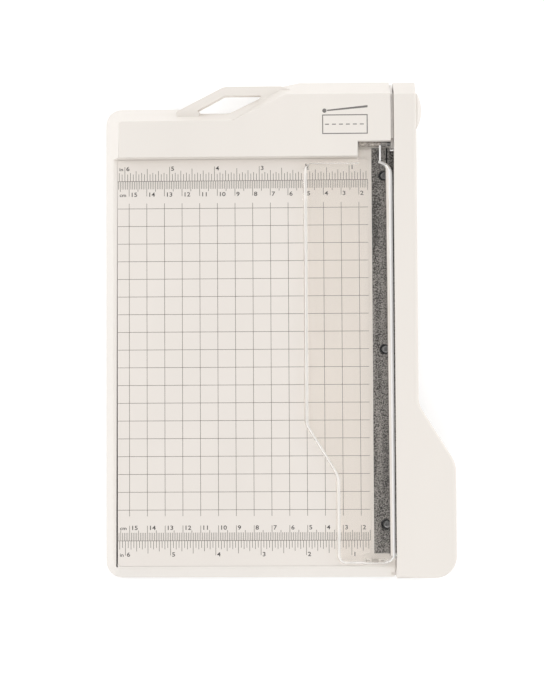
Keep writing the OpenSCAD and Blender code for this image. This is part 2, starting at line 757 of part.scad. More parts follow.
// One straight stretch of the ground bevel between two points of the cutting edge.
module grind(a, b) {
    rise = 1.8;
    flat = 0.25;
    slope = (b[1] - a[1]) / (b[0] - a[0]);
    translate([0, a[0], a[1]]) multmatrix([[1, 0, 0, 0], [0, 1, 0, 0], [0, slope, 1, 0]])
        translate([0, b[0] - a[0], 0]) rotate([-90, 0, 0]) linear_extrude(a[0] - b[0])
            polygon([[cut_x + flat, 1], [cut_x + flat, 0], [cut_x + blade_t + tiny, -rise],
                [cut_x + 3, 1]]);
}

module blade_screws() {
    color(bright_steel) for (y = blade_screw_y) difference() {
        union() {
            rod_x(cut_x + 0.05, cut_x + 1.3, 2.75, y, blade_screw_z, 1.45);
            rod_x(cut_x + 0.05, cut_x + 9, 1.4, y, blade_screw_z);
        }
        for (turn = [0, 90]) translate([cut_x - 1, y, blade_screw_z]) rotate([turn, 0, 0])
            translate([0, -1.4, -0.3]) cube([1.7, 2.8, 0.6]);
    }
}

base_shell();
bed_panel();
bed_knife();
knife_screws();
guard_plate();
guard_pin();
guard_spring();
pivot_plate();
pivot_plate_screws();
pivot_bolt();
thrust_washer();
disc_springs();
pivot_washer();
pivot_nut();
arm_bumper();
foot(0);  // foot_front_left
foot(1);  // foot_front_right
foot(2);  // foot_rear_left
foot(3);  // foot_rear_right
arm_shell();
arm_liner();
arm_blade();
blade_screws();
liner_screws();
pivot_bush();
pivot_cap();
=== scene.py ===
"""Looks of a compact lever-arm paper trimmer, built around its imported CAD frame.

Everything is in metres, in the row frame: +X towards the cutting arm, +Y towards the pivot, +Z up.
"""

import json
import math

import bmesh
import bpy
from mathutils import Euler, Matrix, Vector

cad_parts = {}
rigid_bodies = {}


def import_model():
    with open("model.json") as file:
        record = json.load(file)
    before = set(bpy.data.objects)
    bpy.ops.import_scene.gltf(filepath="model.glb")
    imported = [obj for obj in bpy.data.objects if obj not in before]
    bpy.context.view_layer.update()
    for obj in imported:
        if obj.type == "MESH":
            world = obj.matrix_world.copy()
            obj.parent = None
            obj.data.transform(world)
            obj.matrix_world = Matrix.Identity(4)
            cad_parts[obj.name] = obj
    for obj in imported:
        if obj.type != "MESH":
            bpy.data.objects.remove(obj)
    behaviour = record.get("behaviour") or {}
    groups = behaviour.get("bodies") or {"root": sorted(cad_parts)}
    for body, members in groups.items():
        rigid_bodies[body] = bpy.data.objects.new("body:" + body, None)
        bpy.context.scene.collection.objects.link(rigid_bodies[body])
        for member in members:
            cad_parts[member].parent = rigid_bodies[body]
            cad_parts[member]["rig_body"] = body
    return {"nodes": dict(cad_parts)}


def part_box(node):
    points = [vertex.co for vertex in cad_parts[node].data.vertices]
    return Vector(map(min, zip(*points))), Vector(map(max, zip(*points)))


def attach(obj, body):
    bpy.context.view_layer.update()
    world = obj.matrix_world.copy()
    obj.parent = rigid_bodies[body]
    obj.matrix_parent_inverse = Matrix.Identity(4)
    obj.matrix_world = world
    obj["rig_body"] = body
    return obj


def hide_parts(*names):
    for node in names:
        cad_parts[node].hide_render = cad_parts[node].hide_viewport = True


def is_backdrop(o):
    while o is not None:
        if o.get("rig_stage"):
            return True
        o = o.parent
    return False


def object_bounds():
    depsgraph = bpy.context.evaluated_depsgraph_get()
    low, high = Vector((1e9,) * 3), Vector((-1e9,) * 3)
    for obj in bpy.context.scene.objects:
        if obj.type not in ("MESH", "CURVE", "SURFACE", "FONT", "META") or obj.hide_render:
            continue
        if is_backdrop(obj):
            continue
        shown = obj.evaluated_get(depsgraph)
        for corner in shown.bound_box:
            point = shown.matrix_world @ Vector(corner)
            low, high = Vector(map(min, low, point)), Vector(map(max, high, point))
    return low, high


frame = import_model()
CAD_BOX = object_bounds()
NODES = frame["nodes"]
MM = 0.001

# Places that come from the frame
CUT_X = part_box("arm_blade")[0].x
BED_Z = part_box("bed_panel")[1].z
PANEL_LOW, PANEL_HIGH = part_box("bed_panel")
FENCE_Y = PANEL_HIGH.y + 0.2 * MM
HEAD_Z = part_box("base_shell")[1].z
REAR_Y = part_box("base_shell")[1].y
FRONT_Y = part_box("base_shell")[0].y
ARM_LOW, ARM_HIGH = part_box("arm_shell")
PIVOT_Y = (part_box("pivot_bolt")[0].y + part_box("pivot_bolt")[1].y) / 2
PIVOT_Z = (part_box("pivot_bolt")[0].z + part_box("pivot_bolt")[1].z) / 2
GRID_Y = FENCE_Y - 28.0 * MM  # the rearmost horizontal line of the printed grid


# ---------------------------------------------------------------- node materials

class Shader:
    """A Principled material and short ways to add nodes to it."""

    def __init__(self, name, **values):
        self.material = bpy.data.materials.new(name)
        self.material.use_nodes = True
        self.tree = self.material.node_tree
        self.principled = self.tree.nodes["Principled BSDF"]
        for key, value in values.items():
            self.principled.inputs[key.replace("_", " ")].default_value = value
        self.place = self.add("ShaderNodeTexCoord").outputs["Object"]

    def add(self, kind, inputs=None, **properties):
        node = self.tree.nodes.new(kind)
        for key, value in properties.items():
            setattr(node, key, value)
        for key, value in (inputs or {}).items():
            if isinstance(value, bpy.types.NodeSocket):
                self.tree.links.new(value, node.inputs[key])
            else:
                node.inputs[key].default_value = value
        return node

    def link(self, output, socket):
        self.tree.links.new(output, self.principled.inputs[socket])

    def noise(self, scale, detail=2.0, roughness=0.5, stretch=(1, 1, 1), turn=(0, 0, 0)):
        """Noise over the object's own coordinates. A scale of 1000 is a period of about 1 mm."""
        placing = {"Vector": self.place, "Scale": stretch, "Rotation": turn}
        mapping = self.add("ShaderNodeMapping", placing)
        return self.add(
            "ShaderNodeTexNoise",
            {"Vector": mapping.outputs[0], "Scale": scale, "Detail": detail, "Roughness": roughness},
        ).outputs["Fac"]

    def spread(self, value, low, high, to_low=0.0, to_high=1.0):
        """value from low..high to to_low..to_high, clamped."""
        node = self.add(
            "ShaderNodeMapRange",
            {"Value": value, "From Min": low, "From Max": high, "To Min": to_low, "To Max": to_high},
        )
        return node.outputs["Result"]

    def mix(self, share, first, second):
        """Mix of two colours by share."""
        node = self.add("ShaderNodeMix", data_type="RGBA")
        self.put(node.inputs["Factor"], share)
        self.put(node.inputs[6], first)
        self.put(node.inputs[7], second)
        return node.outputs[2]

    def math(self, operation, first, second=0.0):
        node = self.add("ShaderNodeMath", operation=operation)
        self.put(node.inputs[0], first)
        self.put(node.inputs[1], second)
        return node.outputs[0]

    def put(self, socket, value):
        if isinstance(value, bpy.types.NodeSocket):
            self.tree.links.new(value, socket)
        else:
            socket.default_value = value

    def bump(self, height, strength, distance):
        inputs = {"Height": height, "Strength": strength, "Distance": distance}
        return self.add("ShaderNodeBump", inputs).outputs["Normal"]

    def let_lamps_through(self, colour):
        """Lamps shine straight through, tinted with the colour, as through thin clear plastic."""
        through = self.add("ShaderNodeBsdfTransparent", {"Color": colour})
        shadow = self.add("ShaderNodeLightPath").outputs["Is Shadow Ray"]
        both = self.add("ShaderNodeMixShader", {"Fac": shadow})
        self.tree.links.new(self.principled.outputs[0], both.inputs[1])
        self.tree.links.new(through.outputs[0], both.inputs[2])
        output = next(n for n in self.tree.nodes if n.type == "OUTPUT_MATERIAL")
        self.tree.links.new(both.outputs[0], output.inputs["Surface"])


def grey(value, warmth=0.0):
    """A near-grey linear colour. Warmth moves it from blue towards red."""
    return (value * (1 + warmth), value, value * (1 - warmth), 1.0)


def dimmed(colour, share):
    """The colour with its brightness times share."""
    return tuple(c * share for c in colour[:3]) + (1.0,)


def moulded_plastic(name, colour, roughness=0.42, grain=0.10):
    """Warm white moulded plastic: spark-eroded grain, faint flow marks, slightly uneven gloss."""
    s = Shader(name, Roughness=roughness, IOR=1.49)
    flow = s.noise(18, 3, 0.55, stretch=(1, 0.35, 1))
    speck = s.noise(2400, 1, 0.5)
    base = s.mix(s.spread(flow, 0.3, 0.7), dimmed(colour, 0.965), colour)
    fleck = dimmed(colour, 0.93)
    s.link(s.mix(s.spread(speck, 0.62, 0.78, 0.0, 0.5), base, fleck), "Base Color")
    fine = s.noise(3000, 3, 0.6)
    coarse = s.noise(900, 2, 0.5)
    s.link(s.spread(fine, 0.3, 0.7, roughness - 0.06, roughness + 0.08), "Roughness")
    height = s.math("ADD", fine, s.math("MULTIPLY", coarse, 0.6))
    s.link(s.bump(height, grain, 0.02 * MM), "Normal")
    return s.material


def panel_plastic(name):
    """The bed's satin sheet, printed on its top."""
    s = Shader(name, Roughness=0.34, IOR=1.5)
    cloud = s.noise(25, 3, 0.6)
    speck = s.noise(1500, 2, 0.5)
    dim, bright = (0.765, 0.716, 0.668, 1), (0.785, 0.735, 0.686, 1)
    base = s.mix(s.spread(cloud, 0.3, 0.7), dim, bright)
    s.link(s.mix(s.spread(speck, 0.6, 0.8, 0.0, 0.35), base, (0.73, 0.68, 0.63, 1)), "Base Color")
    s.link(s.spread(speck, 0.3, 0.7, 0.30, 0.42), "Roughness")
    s.link(s.bump(s.noise(2200, 2, 0.5), 0.06, 0.01 * MM), "Normal")
    return s.material


def print_ink(name, value, warmth):
    """Screen-printed ink, a little uneven in density."""
    s = Shader(name, Roughness=0.55)
    patchy = s.noise(700, 3, 0.6)
    thin = grey(value * 1.35, warmth)
    s.link(s.mix(s.spread(patchy, 0.35, 0.7), grey(value, warmth), thin), "Base Color")
    s.link(s.spread(patchy, 0.3, 0.7, 0.45, 0.65), "Roughness")
    return s.material


def knife_steel(name):
    """Ground and tumbled strip steel: a grainy grey, with wavering darker bands along its length that are
    a painted reflection of the surroundings.
    """
    s = Shader(name, Metallic=1.0)
    grain = s.noise(1500, 1, 0.5)
    mottle = s.noise(330, 3, 0.6, stretch=(1, 0.5, 1))
    # painted reflection: noise stretched along the length darkens the steel's colour in bands
    painted_reflection_band = s.noise(48, 2, 0.5, stretch=(4.0, 0.25, 1))
    tone = s.math("ADD", s.math("MULTIPLY", grain, 2.0), s.math("MULTIPLY", mottle, 0.5))
    tone = s.math("ADD", tone, s.math("MULTIPLY", painted_reflection_band, 1.1))
    s.link(s.mix(s.spread(tone, 1.5, 2.1), grey(0.06, 0.06), grey(0.40, 0.06)), "Base Color")
    scratch = s.noise(1400, 2, 0.6, stretch=(1, 0.03, 1))
    s.link(s.spread(mottle, 0.3, 0.7, 0.38, 0.55), "Roughness")
    s.link(s.bump(s.math("ADD", grain, scratch), 0.25, 0.02 * MM), "Normal")
    return s.material


def ground_steel(name, value, roughness=0.3, warmth=0.0, along="y"):
    """Ground or plated steel with fine scratches along y, along z, or in no direction."""
    s = Shader(name, Metallic=1.0)
    stretch = {"y": (1, 0.03, 1), "z": (1, 1, 0.03), "none": (1, 1, 1)}[along]
    scratch = s.noise(1800, 3, 0.6, stretch=stretch)
    stain = s.noise(120, 3, 0.6)
    base = s.mix(s.spread(stain, 0.3, 0.7), grey(value * 0.86, warmth), grey(value, warmth))
    s.link(s.mix(s.spread(scratch, 0.55, 0.75, 0, 0.35), base, grey(value * 1.3, warmth)), "Base Color")
    s.link(s.spread(scratch, 0.3, 0.7, roughness - 0.08, roughness + 0.1), "Roughness")
    s.link(s.bump(scratch, 0.18, 0.015 * MM), "Normal")
    return s.material


def spring_wire(name):
    """Blackened spring wire, rubbed to grey on the coil, which is behind the leg."""
    s = Shader(name, Metallic=0.8)
    worn = s.noise(700, 3, 0.6)
    y = s.add("ShaderNodeSeparateXYZ", {"Vector": s.place}).outputs["Y"]
    leg_end = FENCE_Y + 4.7 * MM
    coil = s.spread(y, leg_end, leg_end + MM)
    tone = s.math("MULTIPLY", coil, s.spread(worn, 0.3, 0.7, 0.5, 1.0))
    s.link(s.mix(tone, grey(0.008), grey(0.5, 0.05)), "Base Color")
    s.link(s.spread(worn, 0.3, 0.7, 0.45, 0.6), "Roughness")
    return s.material


def clear_acrylic(name):
    """Polished clear plastic with a few hairline scratches. Lamps shine through it."""
    s = Shader(name, Roughness=0.04, IOR=1.49)
    s.principled.inputs["Transmission Weight"].default_value = 1.0
    hair = s.noise(260, 4, 0.7, stretch=(1, 0.04, 1), turn=(0, 0, 0.5))
    dim, bright = (0.945, 0.935, 0.922, 1), (0.965, 0.957, 0.947, 1)
    s.link(s.mix(s.spread(hair, 0.2, 0.8), dim, bright), "Base Color")
    s.link(s.spread(hair, 0.62, 0.8, 0.03, 0.16), "Roughness")
    s.link(s.bump(s.noise(40, 2, 0.5), 0.05, 0.05 * MM), "Normal")
    s.let_lamps_through((0.91, 0.90, 0.888, 1))
    return s.material


def milky_acrylic(name, dim, bright, transmission, speck=0.0):
    """Cloudy plastic, coloured for the guard's rims as painted highlight and shade, and for the hinge
    barrel as a painted view of the pin inside. Lamps shine through the clearer kinds.
    """
    s = Shader(name, Roughness=0.12, IOR=1.49)
    s.principled.inputs["Transmission Weight"].default_value = transmission
    cloud = s.noise(150, 3, 0.6, stretch=(1, 0.12, 1))
    grain = s.noise(900, 2, 0.6)
    tone = s.math("ADD", s.math("MULTIPLY", cloud, 1 - speck), s.math("MULTIPLY", grain, speck))
    s.link(s.mix(s.spread(tone, 0.38, 0.62), dim, bright), "Base Color")
    s.link(s.spread(cloud, 0.3, 0.7, 0.08, 0.2), "Roughness")
    s.link(s.bump(s.noise(60, 2, 0.5, stretch=(1, 0.2, 1)), 0.1, 0.05 * MM), "Normal")
    if transmission > 0.4:
        s.let_lamps_through((0.9, 0.89, 0.88, 1))
    return s.material


def rubber(name):
    """Matt black rubber with a dusty bloom."""
    s = Shader(name, Roughness=0.8)
    bloom = s.noise(350, 4, 0.6)
    s.link(s.mix(s.spread(bloom, 0.4, 0.75), grey(0.018), grey(0.05, 0.02)), "Base Color")
    s.link(s.spread(bloom, 0.3, 0.7, 0.7, 0.9), "Roughness")
    s.link(s.bump(s.noise(2600, 3, 0.6), 0.3, 0.03 * MM), "Normal")
    return s.material


def porous_bronze(name):
    """Sintered bronze, oily and finely pored."""
    s = Shader(name, Metallic=1.0)
    pores = s.noise(2600, 3, 0.7)
    s.link(s.mix(s.spread(pores, 0.35, 0.65), (0.20, 0.12, 0.05, 1), (0.58, 0.40, 0.20, 1)), "Base Color")
    s.link(s.spread(pores, 0.3, 0.7, 0.35, 0.6), "Roughness")
    s.link(s.bump(pores, 0.3, 0.02 * MM), "Normal")
    return s.material


SHELL = moulded_plastic("shell_white", (0.80, 0.755, 0.705, 1.0))
ACETAL = moulded_plastic("acetal_natural", (0.74, 0.72, 0.62, 1.0), roughness=0.3, grain=0.04)
PANEL = panel_plastic("panel_sheet")
INK = print_ink("ink_grid", 0.10, 0.14)
INK_DARK = print_ink("ink_figures", 0.045, 0.05)
SIGN_INK = print_ink("ink_pictogram", 0.15, 0.06)
KNIFE = knife_steel("knife_steel")
BLADE = ground_steel("blade_steel", 0.42, 0.26)
SCREW = ground_steel("screw_plating", 0.32, 0.32, along="none")
PLATE = ground_steel("plate_zinc", 0.74, 0.45, 0.05, along="z")
CATCH = ground_steel("catch_steel", 0.55, 0.5, 0.08, along="none")
# near-black steel for the screws' seats: painted shade in the gaps beside the screw heads
SEAT_PAINTED_SHADE = ground_steel("seat_painted_shade", 0.02, 0.5, along="none")
SPRING = spring_wire("spring_wire")
CLEAR = clear_acrylic("clear_acrylic")
# painted highlight (near-white) and painted shade (beige) for the crest and the inner flank of the
# guard's right bead
BEAD_PAINTED_HIGHLIGHT = milky_acrylic("bead_painted_highlight", (0.96, 0.95, 0.94, 1), (0.995, 0.99, 0.985, 1), 0.0)
BEAD_SIDE_PAINTED_SHADE = milky_acrylic("bead_side_painted_shade", (0.80, 0.735, 0.67, 1), (0.88, 0.82, 0.76, 1), 0.12)
# a painted light band along the tops and walls of the guard's rims, and a painted brown line of shade
# along their outer sides
RIM_PAINTED_LIGHT = milky_acrylic("rim_painted_light", (0.95, 0.935, 0.915, 1), (0.99, 0.985, 0.97, 1), 0.52)
RIM_EDGE_PAINTED_SHADE = milky_acrylic("rim_edge_painted_shade", (0.70, 0.63, 0.57, 1), (0.80, 0.74, 0.68, 1), 0.6)
# the hinge barrel's brown-grey speckle is a painted view of the steel pin seen through clear plastic
BARREL_PAINTED_PIN = milky_acrylic("hinge_barrel_painted_pin", (0.26, 0.225, 0.195, 1), (0.66, 0.60, 0.54, 1), 0.1, speck=0.7)
RUBBER = rubber("rubber_black")
BRONZE = porous_bronze("bronze_sintered")


# ---------------------------------------------------------------- mesh helpers

SAME = 0.01 * MM  # places closer than this count as one
WELD = 0.002 * MM  # CAD vertices closer than this are joined
FLAT = math.radians(0.4)  # CAD faces that meet at less than this are joined
CORNER_STEPS = 8  # steps of a rounded corner
PER_CORNER = CORNER_STEPS + 1  # points of a rounded corner


def mesh_object(name, bm, material, sharp_angle=32):
    """A shown piece made of the bmesh, smooth except at edges sharper than sharp_angle degrees."""
    bmesh.ops.recalc_face_normals(bm, faces=bm.faces)
    bm.verts.ensure_lookup_table()
    places = [tuple(v.co) for v in bm.verts]
    faces = [[v.index for v in f.verts] for f in bm.faces]
    bm.free()
    mesh = bpy.data.meshes.new(name)
    mesh.from_pydata(places, [], faces)
    mesh.validate()
    mesh.materials.append(material)
    mesh.polygons.foreach_set("use_smooth", [True] * len(mesh.polygons))
    mesh.set_sharp_from_angle(angle=math.radians(sharp_angle))
    made = bpy.data.objects.new(name, mesh)
    bpy.context.scene.collection.objects.link(made)
    return made


def clean_copy(node):
    """A bmesh of a CAD node with its flat faces merged."""
    bm = bmesh.new()
    bm.from_mesh(NODES[node].data)
    bmesh.ops.remove_doubles(bm, verts=bm.verts, dist=WELD)
    bmesh.ops.dissolve_limit(
        bm, angle_limit=FLAT, verts=bm.verts, edges=bm.edges, use_dissolve_boundaries=False
    )
    return bm


def soften(piece, width, weigh):
    """Rounds the edges sharper than 25 degrees. weigh(middle, edge) gives each one's share of width."""
    limit = math.radians(25)
    bm = bmesh.new()
    bm.from_mesh(piece.data)
    weight = bm.edges.layers.float.new("bevel_weight_edge")
    for edge in bm.edges:
        if len(edge.link_faces) == 2 and edge.calc_face_angle(0) > limit:
            edge[weight] = weigh((edge.verts[0].co + edge.verts[1].co) / 2, edge)
    bm.to_mesh(piece.data)
    bm.free()
    round_off = piece.modifiers.new("round", "BEVEL")
    round_off.width = width
    round_off.segments = 4
    round_off.limit_method = "WEIGHT"
    round_off.use_clamp_overlap = False
    round_off.loop_slide = True
    smooth = piece.modifiers.new("smooth", "WEIGHTED_NORMAL")
    smooth.keep_sharp = True


def rounded(corners):
    """Points of a plan polygon of (x, y, radius) corners: PER_CORNER each, or one if the radius is 0."""
    points = []
    for i, (x, y, radius) in enumerate(corners):
        here = Vector((x, y))
        if radius == 0:
            points.append(here)
            continue
        back = (Vector(corners[i - 1][:2]) - here).normalized()
        ahead = (Vector(corners[(i + 1) % len(corners)][:2]) - here).normalized()
        half = back.angle(ahead) / 2
        centre = here + (back + ahead).normalized() * radius / math.sin(half)
        start = here + back * radius / math.tan(half) - centre
        turn = math.copysign(math.pi - 2 * half, -back.cross(ahead))
        for step in range(PER_CORNER):
            angle = turn * step / CORNER_STEPS
            points.append(centre + Matrix.Rotation(angle, 2) @ start)
    return points


def bridge(bm, loops):
    """Quads between successive closed loops of vertices."""
    for low, high in zip(loops, loops[1:]):
        for i in range(len(low)):
            k = (i + 1) % len(low)
            bm.faces.new((low[i], low[k], high[k], high[i]))


def across(middle, width):
    """The two sides of something width wide."""
    return middle - width / 2, middle + width / 2


def add_bar(bm, x0, x1, y0, y1, z0, z1):
    """A closed box."""
    verts = [bm.verts.new((x, y, z)) for z in (z0, z1) for y in (y0, y1) for x in (x0, x1)]
    for corners in ((0, 1, 3, 2), (4, 6, 7, 5), (0, 4, 5, 1), (2, 3, 7, 6), (0, 2, 6, 4), (1, 5, 7, 3)):
        bm.faces.new([verts[i] for i in corners])


def box_tool(x0, x1, y0, y1, z0, z1):
    """A box to carve with."""
    bm = bmesh.new()
    add_bar(bm, x0, x1, y0, y1, z0, z1)
    return mesh_object("tool", bm, CLEAR)


def circle_angles(sides):
    """Evenly spread angles of a full turn."""
    return [math.tau * i / sides for i in range(sides)]


def tube_object(name, x0, x1, y, z, radii, material):
    """A tube along X between the two radii."""
    inner, outer = radii
    bm = bmesh.new()
    rings = []
    for x, radius in ((x0, inner), (x0, outer), (x1, outer), (x1, inner)):
        ring = [(x, y + radius * math.cos(a), z + radius * math.sin(a)) for a in circle_angles(32)]
        rings.append([bm.verts.new(place) for place in ring])
    bridge(bm, rings + rings[:1])
    return mesh_object(name, bm, material)


def carve(piece, tool):
    """Cuts the tool out of the piece and removes the tool."""
    change = piece.modifiers.new("carve", "BOOLEAN")
    change.object = tool
    change.operation = "DIFFERENCE"
    change.solver = "EXACT"
    depsgraph = bpy.context.evaluated_depsgraph_get()
    mesh = bpy.data.meshes.new_from_object(piece.evaluated_get(depsgraph))
    piece.modifiers.clear()
    piece.data = mesh
    bpy.data.objects.remove(tool)


def is_level(edge):
    """Whether both ends of the edge are at the same height."""
    return abs(edge.verts[0].co.z - edge.verts[1].co.z) < SAME


def stand_for(piece, node):
    """The piece takes the place of a CAD node: it goes on the node's body and the node is hidden."""
    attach(piece, NODES[node]["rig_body"])
    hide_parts(node)


def dress(node, material, bevel=0.0):
    """A CAD node that is shown as it is, with its material and small rounded edges."""
    item = NODES[node]
    item.data.materials.clear()
    item.data.materials.append(material)
    if bevel:
        weld = item.modifiers.new("weld", "WELD")
        weld.merge_threshold = WELD
        merge = item.modifiers.new("merge", "DECIMATE")
        merge.decimate_type = "DISSOLVE"
        merge.angle_limit = FLAT
        round_off = item.modifiers.new("round", "BEVEL")
        round_off.width = bevel
        round_off.segments = 2
        round_off.limit_method = "ANGLE"
        round_off.angle_limit = math.radians(30)
        round_off.use_clamp_overlap = True
        round_off.harden_normals = True


# ---------------------------------------------------------------- base

TOP_BAND = 0.3 * MM  # an edge within this of a top face belongs to it


def base_shell():
    """The base moulding, with soft edges on its head and on the bed's left and front rims."""
    piece = mesh_object("base_moulding", clean_copy("base_shell"), SHELL)
    stand_for(piece, "base_shell")
    bed_edge = BED_Z - TOP_BAND
    head_edge = HEAD_Z - TOP_BAND
    recess_x = CUT_X - 20.5 * MM
    rim_x = PANEL_LOW.x - 0.5 * MM
    rim_y = PANEL_LOW.y - 0.5 * MM

    def weigh(middle, edge):
        if not is_level(edge) or middle.z <= bed_edge:
            return 0.0
        if middle.z > head_edge:
            return 0.9 if abs(middle.x - recess_x) < 0.1 * MM else 0.35
        return 1.0 if middle.x < rim_x or middle.y < rim_y else 0.0

    soften(piece, 0.9 * MM, weigh)


# ---------------------------------------------------------------- guard

GUARD_LOW, GUARD_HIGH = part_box("guard_plate")
GUARD_REAR = FENCE_Y - 2.3 * MM
GUARD_Z = BED_Z + 1.3 * MM  # underside of its sheet
GUARD_TOP = GUARD_Z + 2.0 * MM  # top of its sheet, without the rim
HINGE_Y = FENCE_Y + 7.7 * MM
HINGE_Z = BED_Z + 1.8 * MM
NECK = (CUT_X - 20.0 * MM, CUT_X - 7.6 * MM)
NECK_REAR = HINGE_Y - 1.2 * MM
SLOT_X = CUT_X - 12.5 * MM
SLOT_Y = GUARD_LOW.y + 1.9 * MM
RIM_WIDTHS = (2.3 * MM, 1.5 * MM, 4.0 * MM, 1.5 * MM)  # left, rear, right, front

# Rim profiles from the outer to the inner side: share of the rim's width, and height in mm
# over the rim's foot. The slim one runs along the left, the rear and the front, the wide one
# along the right.
SLIM_RIM = (
    (0, 0), (0.05, 0.45), (0.28, 0.8), (0.45, 1.05),
    (0.7, 1.05), (0.82, 0.8), (0.94, 0.45), (1, 0),
)
WIDE_RIM = (
    (0, 0), (0.01, 0.5), (0.05, 0.9), (0.3, 1.5),
    (0.54, 1.5), (0.72, 1.2), (0.9, 0.7), (1, 0),
)
SLIM_FOOT = 0.55  # height in mm of the rims' feet over the sheet
WIDE_FOOT = 0.1

# The materials of the guard's faces, and each one's index: clear, and the painted highlight, shade and
# light bands of its rims
GUARD_PAINTED_MATERIALS = (CLEAR, BEAD_PAINTED_HIGHLIGHT, BEAD_SIDE_PAINTED_SHADE, RIM_PAINTED_LIGHT, RIM_EDGE_PAINTED_SHADE)
IN_CLEAR, IN_BEAD_HIGHLIGHT, IN_BEAD_SIDE_SHADE, IN_RIM_LIGHT, IN_RIM_EDGE_SHADE = range(len(GUARD_PAINTED_MATERIALS))


def guard_outline(inset):
    """Plan of the guard with its neck, with inset times the rim's width taken off.

    It starts at the front left corner and runs anticlockwise, seen from above. The guard is wider
    behind than in front.
    """
    left, rear, right, front = [inset * width for width in RIM_WIDTHS]
    far_left = GUARD_LOW.x + left
    near_left = CUT_X - 34.0 * MM + left
    right_x = GUARD_HIGH.x - right
    front_y = GUARD_LOW.y + front
    rear_y = GUARD_REAR - rear
    step = 0.02 * MM
    return rounded([
        (near_left, front_y, max(5.5 * MM - left, 3 * MM)),
        (right_x, front_y, max(5 * MM - right / 2, 2.5 * MM)),
        (right_x, rear_y, max(8 * MM - right, 3 * MM)),
        (NECK[1] + step, rear_y, 0),
        (NECK[1], GUARD_REAR, 0), (NECK[1], NECK_REAR, 0),
        (NECK[0], NECK_REAR, 0), (NECK[0], GUARD_REAR, 0),
        (NECK[0] - step, rear_y, 0),
        (far_left, rear_y, max(5 * MM - left, 2.5 * MM)),
        (far_left, FRONT_Y + 86.8 * MM - left * 0.3, 8 * MM),
        (near_left, FRONT_Y + 58 * MM - left * 0.3, 14 * MM),
    ])


# Which points of the outline are its front right corner, and which are its neck
FRONT_RIGHT = range(PER_CORNER, 2 * PER_CORNER)
NECK_POINTS = range(3 * PER_CORNER + 1, 3 * PER_CORNER + 5)


def wide_shares():
    """How far each point of the outline has the wide rim: fully on the right, fading in its corners."""
    rise = [i / CORNER_STEPS for i in range(PER_CORNER)]
    rest = len(guard_outline(0)) - 3 * PER_CORNER
    return [0.0] * PER_CORNER + rise + rise[::-1] + [0.0] * rest


def guard_finish(face):
    """The index of a guard face's material, chosen by height, side and facing to paint highlight and
    shade on its rims. Heights are in mm over the sheet.
    """
    middle = face.center
    height = (middle.z - GUARD_TOP) / MM
    upright = abs(face.normal.z) < 0.3
    if upright and height < 0.4:
        return IN_RIM_LIGHT
    if height < 0.05 or middle.y > GUARD_REAR:
        return IN_CLEAR
    if middle.y > GUARD_REAR - 3 * MM and middle.x < NECK[0]:
        return IN_CLEAR
    # right bead: painted highlight on crest and outer slope, painted shade on the inner flank and its
    # foot
    if middle.x > GUARD_HIGH.x - RIM_WIDTHS[2]:
        on_crest = height > 1.5
        if on_crest or middle.x > GUARD_HIGH.x - 1.25 * MM:
            return IN_BEAD_HIGHLIGHT
        if middle.y < GUARD_LOW.y + 8 * MM:
            return IN_CLEAR
        return IN_RIM_EDGE_SHADE if height < 0.5 else IN_BEAD_SIDE_SHADE
    # slim rims: painted dark line on the outer side, painted light band on top
    outward = (middle - (GUARD_LOW + GUARD_HIGH) / 2).dot(face.normal) > 0
    if outward and height < 1.3:
        return IN_RIM_EDGE_SHADE if height > 0.9 else IN_CLEAR
    return IN_RIM_LIGHT if height > 0.6 else IN_CLEAR


def guard_sheet():
    """A bmesh of the guard with its faceted rim, which is thicker on the right and stops at the neck."""
    shares = wide_shares()
    bm = bmesh.new()
    loops = []
    edge = 0.15 * MM
    for inset, z in ((edge / RIM_WIDTHS[0], GUARD_Z), (0, GUARD_Z + edge)):
        loops.append([bm.verts.new((*p, z)) for p in guard_outline(inset)])
    for (slim, slim_z), (wide, wide_z) in zip(SLIM_RIM, WIDE_RIM):
        loop = []
        outlines = [guard_outline(inset) for inset in (slim, wide, 0.75 * wide)]
        for i, (slim_place, wide_place, front_place) in enumerate(zip(*outlines)):
            share = shares[i]
            other = front_place if i in FRONT_RIGHT else wide_place
            height = (SLIM_FOOT + slim_z) * (1 - share) + (WIDE_FOOT + wide_z) * share
            z = GUARD_TOP if i in NECK_POINTS else GUARD_TOP + height * MM
            loop.append(bm.verts.new((*slim_place.lerp(other, share), z)))
        loops.append(loop)
    loops.append([bm.verts.new((*p, GUARD_TOP)) for p in guard_outline(1)])
    bridge(bm, loops)
    bm.faces.new(loops[0])
    bm.faces.new(loops[-1])
    bmesh.ops.remove_doubles(bm, verts=bm.verts, dist=0.0005 * MM)
    return bm


def guard():
    """The clear guard, slotted in front, with the hinge barrel painted as the pin seen through it, and a
    white rib on its neck as a painted highlight.
    """
    sharp_angle = 20
    piece = mesh_object("clear_guard", guard_sheet(), CLEAR, sharp_angle)
    carve(piece, box_tool(*across(SLOT_X, 11 * MM), *across(SLOT_Y, 1.8 * MM), 0, HEAD_Z))
    mesh = piece.data
    for material in GUARD_PAINTED_MATERIALS[1:]:
        mesh.materials.append(material)
    for face in mesh.polygons:
        face.material_index = guard_finish(face)
    mesh.set_sharp_from_angle(angle=math.radians(sharp_angle))
    stand_for(piece, "guard_plate")

    # the barrel is coloured as a painted view of the pin inside it
    radii = (1.14 * MM, 1.8 * MM)
    barrel = tube_object("guard_barrel_painted_pin", *NECK, HINGE_Y, HINGE_Z, radii, BARREL_PAINTED_PIN)
    # a thin white bar along the neck's right edge: painted highlight
    bm = bmesh.new()
    rib_left = NECK[1] - 0.9 * MM
    add_bar(bm, rib_left, NECK[1], GUARD_REAR, NECK_REAR, GUARD_TOP, GUARD_TOP + 0.3 * MM)
    rib = mesh_object("guard_neck_rib_painted_highlight", bm, BEAD_PAINTED_HIGHLIGHT)
    for item in (barrel, rib):
        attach(item, "guard")


